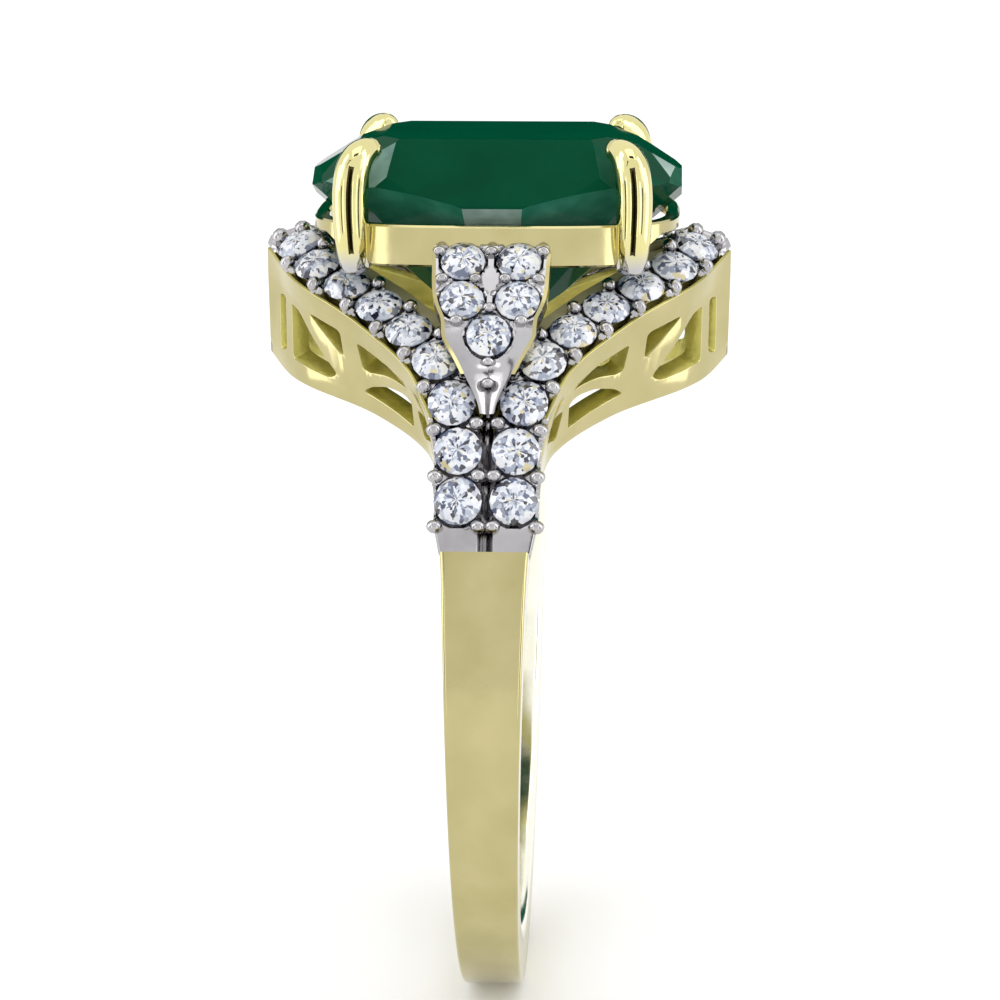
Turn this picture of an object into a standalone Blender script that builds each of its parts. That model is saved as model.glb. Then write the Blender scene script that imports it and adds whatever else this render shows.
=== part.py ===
"""Cocktail ring with a green cushion-cut stone in a four-claw basket.

Two white gold pave arms run from each shoulder of a plain yellow gold shank, pass round the stone and meet
in a point beyond its ends. Openwork yellow gold walls carry the arms down to the finger. A white gold
keystone with five stones fills the fork of the arms on both faces.

Metres in the world, +Z up. The origin is the centre of the finger hole, whose axis is X. The centre stone is
at +Z, and the ring is symmetric about the planes X = 0 and Y = 0.
"""

import math

import bmesh
import bpy
from mathutils import Matrix, Vector

MILLIMETRE = 0.001  # the solids are modelled in millimetres, under an empty that brings them to metres
GAP = 0.03  # kept between pieces that touch on the real ring
SHARP_ANGLE = math.radians(30)  # edges with a sharper turn stay sharp in the shading

# Shank
FINGER_RADIUS = 8.65
SHOULDER_ANGLE = math.radians(28.8)  # above the horizontal, where the shank ends and the arms begin
SHANK_THICKNESS_TOP = 1.75
SHANK_THICKNESS_BOTTOM = 1.6
SHANK_WIDTH_TOP = 2.5
SHANK_WIDTH_BOTTOM = 1.75
SHANK_CHAMFER = 0.14
COMFORT_RISE = 0.04  # of the inner face from its middle to its rounded edges
SHANK_TAPER = 0.7  # power of the change from the top's size to the bottom's
SHANK_STEPS = 48

# Round accent stones, and how they lie along an arm
ARM_STONE_DIAMETER = 1.38
ARM_STONES = 9
STONE_PITCH = 1.46
FIRST_STONE = 0.88  # along the arm's centre line, from the tip
KEYSTONE_STONE_DIAMETER = 1.28
# Proportions of a round brilliant, as shares of its radius
BRILLIANT_TABLE = 0.56
BRILLIANT_STAR = 0.78
BRILLIANT_LOWER = 0.24
BRILLIANT_CROWN = 0.31
BRILLIANT_PAVILION = 0.86
BRILLIANT_GIRDLE = 0.03
# The drilled seat of a stone
SEAT_SIDES = 12
SEAT_TURN = math.radians(4)  # keeps a seat's corners off the plates' own edges
SEAT_TOP = 0.5  # above the girdle, clear of the plate's face
SEAT_STEP = 0.03  # below the girdle, where the straight wall ends
SEAT_CONE = 0.34  # below the girdle, where the cone ends
SEAT_HOLE = 0.6  # radius of the open hole, as a share of the seat's
SEAT_BOTTOM = 1.2  # below the girdle, clear of the plate's underside

# Centre line of the front right arm at the stones' girdles, from the tip to the shank
ARM_LINE = (
    (6.25, 0.00, 12.77),
    (5.27, -2.02, 12.10),
    (3.31, -3.95, 11.18),
    (1.58, -5.84, 9.98),
    (0.91, -7.00, 8.35),
    (0.80, -7.86, 6.62),
    (0.80, -8.64, 4.87),
)
# Lower outer edge of the wall below it, on the finger, as seen from above
RIM_LINE = (
    (6.90, 0.00),
    (5.60, -2.06),
    (3.45, -3.66),
    (1.85, -5.10),
    (1.42, -6.25),
    (1.31, -7.05),
    (1.22, -7.60),
)
RIM_RADIUS = FINGER_RADIUS + 0.06
TIP_RISE = 0.45  # how far the rim rises off the finger at the tip
TIP_RISE_REACH = 1.6
TIP_LEAN = 0.30  # how far the wall's top leans out past the rail at the tip
TIP_LEAN_REACH = 0.16  # of the arm's line

# Pave rail, as distances from the stones' centre line
RAIL_HALF_WIDTH = 0.70
RAIL_ABOVE = 0.10
RAIL_BELOW = 0.63
RAIL_STEPS = 20
END_NARROWING = 0.24  # of the outer side of rail and wall, at the shank
END_FROM = 0.90  # of the arm's line

# Gallery wall below the rail
WALL_OUTSIDE = 0.74
WALL_THICKNESS = 0.55
LEDGE_REACH = 1.70  # of the wall's top flange, inwards from the wall's outer face
THICKNESS_SHARE = 0.8  # most of that reach that the wall itself takes, where the arms come together
LEDGE_SHARE = 0.08  # of the wall's height
WALL_STEPS = 22
TIP_CLEARANCE = 0.07  # of the arm's line, left without a section beside the mitre
GROOVE_HALF_WIDTH = 0.09  # between the left and the right arm at the shoulder

FLAT_LENGTH = 12.0  # of one arm of the wall while it is flat
FLAT_HEIGHT = 5.0
WINDOW_REACH = 0.5  # of a window's cutter beyond both faces, as a share of the wall's thickness
# Windows of the openwork, as (place along the arm's line from 0 to 1, place down the wall from 0 to 1)
WINDOWS = (
    ((0.052, 0.22), (0.083, 0.18), (0.083, 0.76), (0.052, 0.82)),
    ((0.116, 0.20), (0.155, 0.22), (0.250, 0.71), (0.228, 0.80), (0.115, 0.79)),
    ((0.190, 0.14), (0.272, 0.13), (0.270, 0.46)),
    ((0.314, 0.15), (0.400, 0.13), (0.465, 0.24), (0.430, 0.27), (0.385, 0.34), (0.335, 0.47), (0.318, 0.46)),
    ((0.309, 0.77), (0.338, 0.64), (0.390, 0.48), (0.440, 0.39), (0.468, 0.41), (0.458, 0.79), (0.366, 0.77)),
    ((0.492, 0.42), (0.560, 0.32), (0.585, 0.55), (0.507, 0.78)),
)

# Centre stone
GIRDLE_HALF = Vector((5.50, 4.30))
GIRDLE_HEIGHT = 14.10
TABLE_HEIGHT = 15.88
CULET_HEIGHT = 10.00
CUSHION_POWER = 3.4
GIRDLE_SIDES = 24
# Facets of one quarter, as (azimuth from +X in degrees, slope, a point of the facet)
CROWN_FACETS = (
    (90, 45, (0, 2.55, 15.88)),
    (0, 17.5, (3.30, 0, 15.88)),
    (0, 31.5, (4.15, 0, 15.61)),
    (33, 36, (3.05, 2.15, 15.88)),
    (52, 47, (2.60, 2.75, 15.88)),
    (24, 38, (4.20, 1.70, 15.44)),
    (76, 62, (2.60, 3.99, 14.30)),
    (84, 56, (1.20, 4.22, 14.26)),
    (15, 62, (5.36, 1.35, 14.55)),
    (45, 60, (4.45, 3.32, 14.35)),
)
PAVILION_FACETS = (
    (90, 136.5, (0, 0, 10.00)),
    (0, 140, (0.9, 0, 10.00)),
    (40, 137, (0.5, 0.2, 10.10)),
    (64, 135, (0.2, 0.2, 10.10)),
    (20, 138, (0.8, 0.2, 10.10)),
    (78, 122, (1.60, 4.24, 13.96)),
    (60, 124, (3.30, 3.90, 13.96)),
    (12, 124, (5.45, 1.00, 13.96)),
    (35, 124, (4.90, 2.90, 13.96)),
)
FACET_MERGE = 0.002  # points of the cut stone that lie this near become one

# Basket
RAIL_RING_HALF = Vector((5.42, 4.24))
RAIL_RING_WALL = 0.42
RAIL_RING_TOP = 13.56
RAIL_RING_BOTTOM = 12.36
RAIL_RING_RISE = 0.80  # of its lower edge over the ends of the arms
RAIL_RING_RISE_FROM = 3.9
RAIL_RING_RISE_TO = 4.9
RAIL_RING_SIDES = 40
CLAW_RADIUS = 0.52
CLAW_STEPS = 12
NOTCH_GROWTH = 1.4  # of the gap, for the notch that holds the stone
CAP_MERGE = 0.001  # joins the caps of a claw to its sides
# Centre line of the front right claw, from its foot to its tip, with a share of the radius
CLAW_LINE = (
    (3.95, -3.62, 12.12, 0.86),
    (4.05, -3.98, 13.00, 0.96),
    (4.10, -4.10, 14.10, 1.00),
    (4.06, -4.04, 14.90, 1.00),
    (3.92, -3.82, 15.40, 0.94),
    (3.64, -3.42, 15.64, 0.74),
    (3.36, -3.06, 15.60, 0.46),
)

# Keystone: (Y, Z, half width) down its middle line, at the level of the stones' girdles
KEYSTONE_LINE = (
    (-4.36, 12.98, 1.66),
    (-4.72, 12.60, 1.62),
    (-5.65, 11.62, 1.52),
    (-6.33, 10.72, 1.02),
    (-6.74, 9.86, 0.52),
    (-6.98, 9.24, 0.24),
    (-7.22, 8.62, 0.12),
)
KEYSTONE_ROWS = ((1, 0.81), (2, 0.80), (3, 0.0))  # (point of that line, distance of its stones from X = 0)
KEYSTONE_ABOVE = 0.10
KEYSTONE_BELOW = 0.62

YELLOW_GOLD = ("yellow_gold", (0.72, 0.62, 0.30), 1.0, 0.16)
WHITE_GOLD = ("white_gold", (0.62, 0.61, 0.60), 1.0, 0.14)
CLEAR_STONE = ("clear_stone", (0.93, 0.95, 1.00), 0.0, 0.02)
GREEN_STONE = ("green_stone", (0.00, 0.10, 0.05), 0.0, 0.03)


def clear_scene():
    for obj in list(bpy.data.objects):
        bpy.data.objects.remove(obj, do_unlink=True)


def new_collection(name):
    collection = bpy.data.collections.new(name)
    bpy.context.scene.collection.children.link(collection)
    return collection


def material(name, colour, metallic, roughness):
    """A Principled material, made once."""
    made = bpy.data.materials.get(name)
    if made:
        return made
    made = bpy.data.materials.new(name)
    made.use_nodes = True
    shader = made.node_tree.nodes["Principled BSDF"]
    shader.inputs["Base Color"].default_value = (*colour, 1)
    shader.inputs["Metallic"].default_value = metallic
    shader.inputs["Roughness"].default_value = roughness
    return made


def in_millimetres():
    """The empty that every solid and every cutter hangs on."""
    name = "millimetres"
    made = bpy.data.objects.get(name)
    if made:
        return made
    made = bpy.data.objects.new(name, None)
    made.scale = (MILLIMETRE, MILLIMETRE, MILLIMETRE)
    bpy.context.scene.collection.objects.link(made)
    return made


def add_object(name, mesh, look, collection):
    obj = bpy.data.objects.new(name, mesh)
    if not mesh.materials:
        mesh.materials.append(material(*look))
    collection.objects.link(obj)
    obj.parent = in_millimetres()
    return obj


def to_mesh(name, bm):
    bmesh.ops.recalc_face_normals(bm, faces=bm.faces[:])
    if bm.calc_volume(signed=True) < 0:
        bmesh.ops.reverse_faces(bm, faces=bm.faces[:])
    mesh = bpy.data.meshes.new(name)
    bm.to_mesh(mesh)
    bm.free()
    return mesh


def smoothed(mesh):
    """The same mesh, shaded smooth between its sharp edges."""
    mesh.shade_smooth()
    mesh.set_sharp_from_angle(angle=SHARP_ANGLE)
    return mesh


def add_cutter(name, bm, collection):
    cutter = bpy.data.objects.new(name, to_mesh(name, bm))
    cutter.hide_render = True
    cutter.display_type = "WIRE"
    collection.objects.link(cutter)
    cutter.parent = in_millimetres()
    return cutter


def subtract(obj, cutter):
    boolean = obj.modifiers.new(cutter.name, "BOOLEAN")
    boolean.operation = "DIFFERENCE"
    boolean.object = cutter


def spline(points, place):
    """The point at place, from 0 to 1, of a Catmull-Rom curve through points."""
    last = len(points) - 1
    scaled = min(max(place, 0.0), 1.0) * last
    first = min(int(scaled), last - 1)
    t = scaled - first
    p1, p2 = points[first], points[first + 1]
    p0 = points[first - 1] if first else p1 * 2 - p2
    p3 = points[first + 2] if first + 2 <= last else p2 * 2 - p1
    return (
        p1 * 2
        + (p2 - p0) * t
        + (p0 * 2 - p1 * 5 + p2 * 4 - p3) * t**2
        + (p1 * 3 - p0 - p2 * 3 + p3) * t**3
    ) / 2


ARM_POINTS = [Vector(point) for point in ARM_LINE]
LENGTH_STEPS = 600
NUDGE = 0.002  # of the line, to each side of a place, for its direction


def arm_places(distances):
    """The places along the arm's line, from 0 to 1, that lie at these distances from its tip."""
    found = []
    travelled = 0.0
    wanted = list(distances)
    before = spline(ARM_POINTS, 0)
    for step in range(1, LENGTH_STEPS + 1):
        after = spline(ARM_POINTS, step / LENGTH_STEPS)
        length = (after - before).length
        while wanted and wanted[0] <= travelled + length:
            share = (wanted.pop(0) - travelled) / length
            found.append((step - 1 + share) / LENGTH_STEPS)
        travelled += length
        before = after
    return found


def arm_frame(place):
    """The arm's centre, its outward side and its face's normal."""
    if place < TIP_CLEARANCE:
        # The two arms meet in a mitre on the plane Y = 0, and run straight out of it.
        share = place / TIP_CLEARANCE
        mitre, beyond = line_frame(0), line_frame(TIP_CLEARANCE)
        centre, _, side, normal = [first.lerp(last, share) for first, last in zip(mitre, beyond)]
        return centre, side, normal
    centre, _, side, normal = line_frame(place)
    return centre, side, normal


def line_frame(place):
    """Centre, direction towards the shank, outward side and face normal at a place on the arm's line."""
    centre = spline(ARM_POINTS, place)
    along = (spline(ARM_POINTS, place + NUDGE) - spline(ARM_POINTS, place - NUDGE)).normalized()
    radial = centre.normalized()
    normal = (radial - along * radial.dot(along)).normalized()
    side = normal.cross(along)
    if place == 0:
        side = side - along * (side.y / along.y)
        normal = normal - along * (normal.y / along.y)
    return centre, along, side, normal


def rim_point(place):
    """The wall's lower outer edge. It lies on the finger and rises a little at the tip."""
    flat = spline([Vector((x, y, 0)) for x, y in RIM_LINE], place)
    height = math.sqrt(RIM_RADIUS**2 - flat.y**2)
    rise = max(0.0, 1 + flat.y / TIP_RISE_REACH)
    return Vector((flat.x, flat.y, height + TIP_RISE * rise**2))


def narrowing(place):
    """How much rail and wall are narrower on their outer side, where they run onto the shank."""
    return END_NARROWING * max(0.0, abs(place) - END_FROM) / (1 - END_FROM)


def wall_point(place, down, layer):
    """A point of the wall.

    Down runs from 0 at its top to 1 at its rim. Layer is 0 on its outer face, 1 on its inner face and 2 at
    the end of its flange. The back half has places below 0.
    """
    centre, side, normal = arm_frame(abs(place))
    lean = TIP_LEAN * max(0.0, 1 - abs(place) / TIP_LEAN_REACH) ** 2
    outside = WALL_OUTSIDE - narrowing(place)
    top = centre + side * (outside + lean) - normal * (RAIL_BELOW + GAP)
    reach = min(LEDGE_REACH, (centre.x - GROOVE_HALF_WIDTH) / side.x + outside)
    thickness = min(WALL_THICKNESS, reach * THICKNESS_SHARE)
    inwards = layer * thickness if layer < 1 else thickness + (layer - 1) * (reach - thickness)
    point = top.lerp(rim_point(abs(place)), down) - side * inwards
    return mirrored(point, 1, 1 if place >= 0 else -1)


def mirrored(point, across_x, across_y):
    return Vector((point.x * across_x, point.y * across_y, point.z))


def loft(rings, closed=False):
    """A solid through rings with the same number of points each. It is capped unless it closes on itself."""
    bm = bmesh.new()
    rows = [[bm.verts.new(point) for point in ring] for ring in rings]
    pairs = list(zip(rows, rows[1:]))
    if closed:
        pairs.append((rows[-1], rows[0]))
    else:
        bm.faces.new(rows[0])
        bm.faces.new(rows[-1][::-1])
    for low, high in pairs:
        for i in range(len(low)):
            j = (i + 1) % len(low)
            bm.faces.new((low[i], high[i], high[j], low[j]))
    bmesh.ops.triangulate(bm, faces=[face for face in bm.faces if len(face.verts) > 4])
    return bm


def arm_stations(steps):
    """Places from the back shoulder, at -1, round the tip to the front shoulder, at 1."""
    half = [TIP_CLEARANCE + (1 - TIP_CLEARANCE) * step / steps for step in range(steps + 1)]
    return [-place for place in half[::-1]] + [0.0] + half


def rail_section(place):
    centre, side, normal = arm_frame(abs(place))
    outside = RAIL_HALF_WIDTH - narrowing(place)
    corners = (
        (-RAIL_HALF_WIDTH, RAIL_ABOVE),
        (outside, RAIL_ABOVE),
        (outside, -RAIL_BELOW),
        (-RAIL_HALF_WIDTH, -RAIL_BELOW),
    )
    across_y = 1 if place >= 0 else -1
    return [mirrored(centre + side * across + normal * above, 1, across_y) for across, above in corners]


def flat_point(place, down, layer):
    return Vector((place * FLAT_LENGTH, layer, -down * FLAT_HEIGHT))


def flat_wall(cutters):
    """The wall as a flat strip with a flange, pierced by its windows. It is bent to its shape afterwards."""
    corners = ((0, 0), (1, 0), (1, 1), (LEDGE_SHARE, 1), (LEDGE_SHARE, 2), (0, 2))
    rings = [[flat_point(place, *corner) for corner in corners] for place in arm_stations(WALL_STEPS)]
    strip = add_object("flat_wall", to_mesh("flat_wall", loft(rings)), YELLOW_GOLD, cutters)
    for number, outline in enumerate(WINDOWS):
        for half, face in ((1, "front"), (-1, "back")):
            faces = [
                [flat_point(place * half, down, layer) for place, down in outline]
                for layer in (-WINDOW_REACH, 1 + WINDOW_REACH)
            ]
            subtract(strip, add_cutter(f"window_{face}_{number + 1}", loft(faces), cutters))
    graph = bpy.context.evaluated_depsgraph_get()
    mesh = bpy.data.meshes.new_from_object(strip.evaluated_get(graph))
    bpy.data.objects.remove(strip)
    return mesh


def bent_wall(name, flat, across_x):
    bm = bmesh.new()
    bm.from_mesh(flat)
    bmesh.ops.triangulate(bm, faces=bm.faces[:])
    for vert in bm.verts:
        place, down, layer = vert.co.x / FLAT_LENGTH, -vert.co.z / FLAT_HEIGHT, vert.co.y
        vert.co = mirrored(wall_point(place, down, layer), across_x, 1)
    return to_mesh(name, bm)


def seat_cutter(diameter, frame):
    """The drilled seat of one stone: straight down to its girdle, then a cone, then an open hole."""
    radius = diameter / 2 + GAP
    hole = radius * SEAT_HOLE
    profile = ((radius, SEAT_TOP), (radius, -SEAT_STEP), (hole, -SEAT_CONE), (hole, -SEAT_BOTTOM))
    rings = []
    for ring_radius, height in profile:
        ring = []
        for i in range(SEAT_SIDES):
            turn = math.tau * (i + 0.5) / SEAT_SIDES + SEAT_TURN
            x, y = ring_radius * math.cos(turn), ring_radius * math.sin(turn)
            ring.append(frame @ Vector((x, y, height)))
        rings.append(ring)
    return loft(rings)


def brilliant(name, diameter):
    """A round brilliant with 57 facets and a thin girdle on Z = 0. Its table faces +Z."""
    radius = diameter / 2
    table, star, lower = BRILLIANT_TABLE * radius, BRILLIANT_STAR * radius, BRILLIANT_LOWER * radius
    crown, pavilion, band = BRILLIANT_CROWN * radius, BRILLIANT_PAVILION * radius, BRILLIANT_GIRDLE * radius
    half_turn = math.pi / 8
    star_height = band + crown * (radius - star * math.cos(half_turn)) / (radius - table)
    lower_height = -band - pavilion * (radius - lower * math.cos(half_turn)) / radius
    rings = (
        (8, table, band + crown, 0),
        (8, star, star_height, half_turn),
        (16, radius, band, 0),
        (16, radius, -band, 0),
        (8, lower, lower_height, half_turn),
        (1, 0, -band - pavilion, 0),
    )
    bm = bmesh.new()
    for count, ring_radius, height, offset in rings:
        for i in range(count):
            turn = math.tau * i / count + offset
            bm.verts.new((ring_radius * math.cos(turn), ring_radius * math.sin(turn), height))
    bmesh.ops.convex_hull(bm, input=bm.verts[:])
    return to_mesh(name, bm)


def frame_matrix(centre, normal, side):
    """A matrix with its Z axis along normal, and its X axis near side."""
    z = normal.normalized()
    y = z.cross(side).normalized()
    x = y.cross(z)
    matrix = Matrix((x, y, z)).transposed().to_4x4()
    matrix.translation = centre
    return matrix


def arm_seats(across_x, across_y):
    """A matrix for each stone of one arm, from the tip to the shoulder."""
    distances = [FIRST_STONE + STONE_PITCH * i for i in range(ARM_STONES)]
    seats = []
    for place in arm_places(distances):
        centre, side, normal = arm_frame(place)
        vectors = [mirrored(vector, across_x, across_y) for vector in (centre, normal, side)]
        seats.append(frame_matrix(*vectors))
    return seats


def keystone_frame(index):
    """Centre and normal of the keystone's face at one point of its line."""
    line = [Vector((0, y, z)) for y, z, _ in KEYSTONE_LINE]
    before = line[max(index - 1, 0)]
    after = line[min(index + 1, len(line) - 1)]
    down = (after - before).normalized()
    return line[index], Vector((1, 0, 0)).cross(down).normalized() * -1


def keystone_seats(across_y):
    seats = []
    for index, distance in KEYSTONE_ROWS:
        centre, normal = keystone_frame(index)
        for across_x in (-1, 1) if distance else (1,):
            place = centre + Vector((across_x * distance, 0, 0))
            outward = mirrored(normal, 1, across_y)
            seats.append(frame_matrix(mirrored(place, 1, across_y), outward, Vector((1, 0, 0))))
    return seats


def cushion_outline(half, power, count):
    """A rounded rectangle between an ellipse and a box, as (x, y) points."""
    points = []
    for i in range(count):
        turn = math.tau * (i + 0.5) / count
        c, s = math.cos(turn), math.sin(turn)
        x = half.x * math.copysign(abs(c) ** (2 / power), c)
        y = half.y * math.copysign(abs(s) ** (2 / power), s)
        points.append((x, y))
    return points


def cut_facet(bm, point, normal):
    geometry = bm.verts[:] + bm.edges[:] + bm.faces[:]
    cut = bmesh.ops.bisect_plane(
        bm, geom=geometry, dist=1e-5, plane_co=point, plane_no=normal, clear_outer=True
    )
    rim = [item for item in cut["geom_cut"] if isinstance(item, bmesh.types.BMEdge)]
    if rim:
        bmesh.ops.holes_fill(bm, edges=rim, sides=0)


def slope_normal(azimuth, slope):
    """Normal of a facet that faces azimuth (degrees from +X) and leans back from upright by 90 - slope."""
    turn, lean = math.radians(azimuth), math.radians(slope)
    return Vector((math.cos(turn) * math.sin(lean), math.sin(turn) * math.sin(lean), math.cos(lean)))


def centre_stone_mesh():
    """An elongated cushion: a prism that is cut to its facets, plane by plane."""
    outline = cushion_outline(GIRDLE_HALF, CUSHION_POWER, GIRDLE_SIDES)
    bm = loft([[Vector((x, y, z)) for x, y in outline] for z in (CULET_HEIGHT, TABLE_HEIGHT)])
    bmesh.ops.recalc_face_normals(bm, faces=bm.faces[:])
    for azimuth, slope, point in CROWN_FACETS + PAVILION_FACETS:
        normal = slope_normal(azimuth, slope)
        for across_x in (1, -1):
            for across_y in (1, -1):
                place = mirrored(Vector(point), across_x, across_y)
                cut_facet(bm, place, mirrored(normal, across_x, across_y))
    bmesh.ops.remove_doubles(bm, verts=bm.verts[:], dist=FACET_MERGE)
    bmesh.ops.dissolve_degenerate(bm, dist=FACET_MERGE, edges=bm.edges[:])
    bmesh.ops.triangulate(bm, faces=[face for face in bm.faces if len(face.verts) > 3])
    return to_mesh("centre_stone", bm)


def grown_stone_cutter(cutters):
    """The centre stone, larger all round by the gap, for notching the claws."""
    bm = bmesh.new()
    mesh = centre_stone_mesh()
    bm.from_mesh(mesh)
    bpy.data.meshes.remove(mesh)
    middle = Vector((0, 0, GIRDLE_HEIGHT))
    grow = 1 + NOTCH_GROWTH * GAP / (TABLE_HEIGHT - GIRDLE_HEIGHT)
    for vert in bm.verts:
        offset = vert.co - middle
        vert.co = middle + offset * grow
    return add_cutter("grown_stone", bm, cutters)


def ring_band(half, wall, low, high):
    """An upright band round a cushion outline. Its lower edge rises at both ends, to pass over the arms."""
    outer = cushion_outline(half, CUSHION_POWER, RAIL_RING_SIDES)
    inner = cushion_outline(half - Vector((wall, wall)), CUSHION_POWER, RAIL_RING_SIDES)
    rings = []
    for (x, y), (u, v) in zip(outer, inner):
        share = (abs(x) - RAIL_RING_RISE_FROM) / (RAIL_RING_RISE_TO - RAIL_RING_RISE_FROM)
        under = low + RAIL_RING_RISE * min(max(share, 0), 1)
        outside = [Vector((x, y, under)), Vector((x, y, high))]
        rings.append(outside + [Vector((u, v, high)), Vector((u, v, under))])
    return loft(rings, closed=True)


def shank_section(angle, share):
    """The band's section at an angle above the horizontal front. Share is 0 at an end and 1 at the bottom."""
    half = (SHANK_WIDTH_TOP + (SHANK_WIDTH_BOTTOM - SHANK_WIDTH_TOP) * share) / 2
    thick = SHANK_THICKNESS_TOP + (SHANK_THICKNESS_BOTTOM - SHANK_THICKNESS_TOP) * share
    edge, comfort = SHANK_CHAMFER, 2 * SHANK_CHAMFER
    inner, outer = FINGER_RADIUS, FINGER_RADIUS + thick
    corners = (
        (-half + edge, outer),
        (half - edge, outer),
        (half, outer - edge),
        (half, inner + comfort),
        (half - comfort, inner + COMFORT_RISE),
        (0, inner),
        (-half + comfort, inner + COMFORT_RISE),
        (-half, inner + comfort),
        (-half, outer - edge),
    )
    direction = Vector((0, -math.cos(angle), math.sin(angle)))
    return [Vector((x, 0, 0)) + direction * radius for x, radius in corners]


def shank():
    rings = []
    start = SHOULDER_ANGLE
    end = -math.pi - SHOULDER_ANGLE
    for step in range(SHANK_STEPS + 1):
        part = step / SHANK_STEPS
        share = math.sin(math.pi * part) ** SHANK_TAPER
        rings.append(shank_section(start + (end - start) * part, share))
    return smoothed(to_mesh("shank", loft(rings)))


def pave_rail(name, across_x, collection, cutters):
    rings = [rail_section(place) for place in arm_stations(RAIL_STEPS)]
    rings = [[mirrored(point, across_x, 1) for point in ring] for ring in rings]
    rail = add_object(name, to_mesh(name, loft(rings)), WHITE_GOLD, collection)
    for across_y, face in ((1, "front"), (-1, "back")):
        for number, seat in enumerate(arm_seats(across_x, across_y)):
            bm = seat_cutter(ARM_STONE_DIAMETER, seat)
            subtract(rail, add_cutter(f"{name}_seat_{face}_{number + 1}", bm, cutters))


def keystone(name, across_y, notch, collection, cutters):
    rings = []
    for index, (_, _, half) in enumerate(KEYSTONE_LINE):
        centre, normal = keystone_frame(index)
        corners = (
            (-half, KEYSTONE_ABOVE),
            (half, KEYSTONE_ABOVE),
            (half, -KEYSTONE_BELOW),
            (-half, -KEYSTONE_BELOW),
        )
        rings.append([mirrored(centre + Vector((x, 0, 0)) + normal * up, 1, across_y) for x, up in corners])
    plate = add_object(name, to_mesh(name, loft(rings)), WHITE_GOLD, collection)
    subtract(plate, notch)
    for number, seat in enumerate(keystone_seats(across_y)):
        bm = seat_cutter(KEYSTONE_STONE_DIAMETER, seat)
        subtract(plate, add_cutter(f"{name}_seat_{number + 1}", bm, cutters))


def claw(name, across_x, across_y, notches, collection):
    """A round wire, thinner at both ends, notched for the stone and for the basket's band."""
    line = [Vector((x, y, z, radius)) for x, y, z, radius in CLAW_LINE]
    curve = bpy.data.curves.new(name, "CURVE")
    curve.dimensions = "3D"
    curve.bevel_depth = CLAW_RADIUS
    curve.bevel_resolution = 2
    curve.use_fill_caps = True
    wire = curve.splines.new("POLY")
    wire.points.add(CLAW_STEPS)
    for step in range(CLAW_STEPS + 1):
        x, y, z, radius = spline(line, step / CLAW_STEPS)
        wire.points[step].co = (x * across_x, y * across_y, z, 1)
        wire.points[step].radius = radius
    guide = bpy.data.objects.new(name + "_guide", curve)
    collection.objects.link(guide)
    graph = bpy.context.evaluated_depsgraph_get()
    mesh = bpy.data.meshes.new_from_object(guide.evaluated_get(graph))
    bpy.data.objects.remove(guide)
    bm = bmesh.new()
    bm.from_mesh(mesh)
    bmesh.ops.remove_doubles(bm, verts=bm.verts[:], dist=CAP_MERGE)
    bpy.data.meshes.remove(mesh)
    obj = add_object(name, smoothed(to_mesh(name, bm)), YELLOW_GOLD, collection)
    for notch in notches:
        subtract(obj, notch)


def set_stones(prefix, mesh, seats, collection):
    for number, seat in enumerate(seats):
        stone = add_object(f"{prefix}_{number + 1}", mesh, CLEAR_STONE, collection)
        stone.matrix_local = seat


def main():
    clear_scene()
    ring = new_collection("cocktail_ring")
    cutters = new_collection("cutters")

    add_object("shank", shank(), YELLOW_GOLD, ring)
    flat = flat_wall(cutters)
    for across_x, side in ((-1, "left"), (1, "right")):
        name = f"gallery_wall_{side}"
        add_object(name, smoothed(bent_wall(name, flat, across_x)), YELLOW_GOLD, ring)
        pave_rail(f"pave_rail_{side}", across_x, ring, cutters)
    add_object("centre_stone", centre_stone_mesh(), GREEN_STONE, ring)
    band = ring_band(RAIL_RING_HALF, RAIL_RING_WALL, RAIL_RING_BOTTOM, RAIL_RING_TOP)
    add_object("basket_rail", smoothed(to_mesh("basket_rail", band)), YELLOW_GOLD, ring)
    grown_half = RAIL_RING_HALF + Vector((GAP, GAP))
    grown_band = ring_band(
        grown_half, RAIL_RING_WALL + 2 * GAP, RAIL_RING_BOTTOM - GAP, RAIL_RING_TOP + GAP
    )
    rail_notch = add_cutter("grown_rail", grown_band, cutters)
    claw_notches = (grown_stone_cutter(cutters), rail_notch)

    arm_stone = brilliant("arm_stone", ARM_STONE_DIAMETER)
    keystone_stone = brilliant("keystone_stone", KEYSTONE_STONE_DIAMETER)
    for across_y, face in ((1, "front"), (-1, "back")):
        keystone(f"keystone_{face}", across_y, rail_notch, ring, cutters)
        for across_x, side in ((-1, "left"), (1, "right")):
            claw(f"claw_{face}_{side}", across_x, across_y, claw_notches, ring)
            set_stones(f"stone_{face}_{side}", arm_stone, arm_seats(across_x, across_y), ring)
        set_stones(f"stone_{face}_keystone", keystone_stone, keystone_seats(across_y), ring)


main()
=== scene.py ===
"""Looks of the cocktail ring: polished gold, set stones, plain floor and soft studio light."""

import math

import bmesh
import bpy
from mathutils import Matrix, Vector


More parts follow.
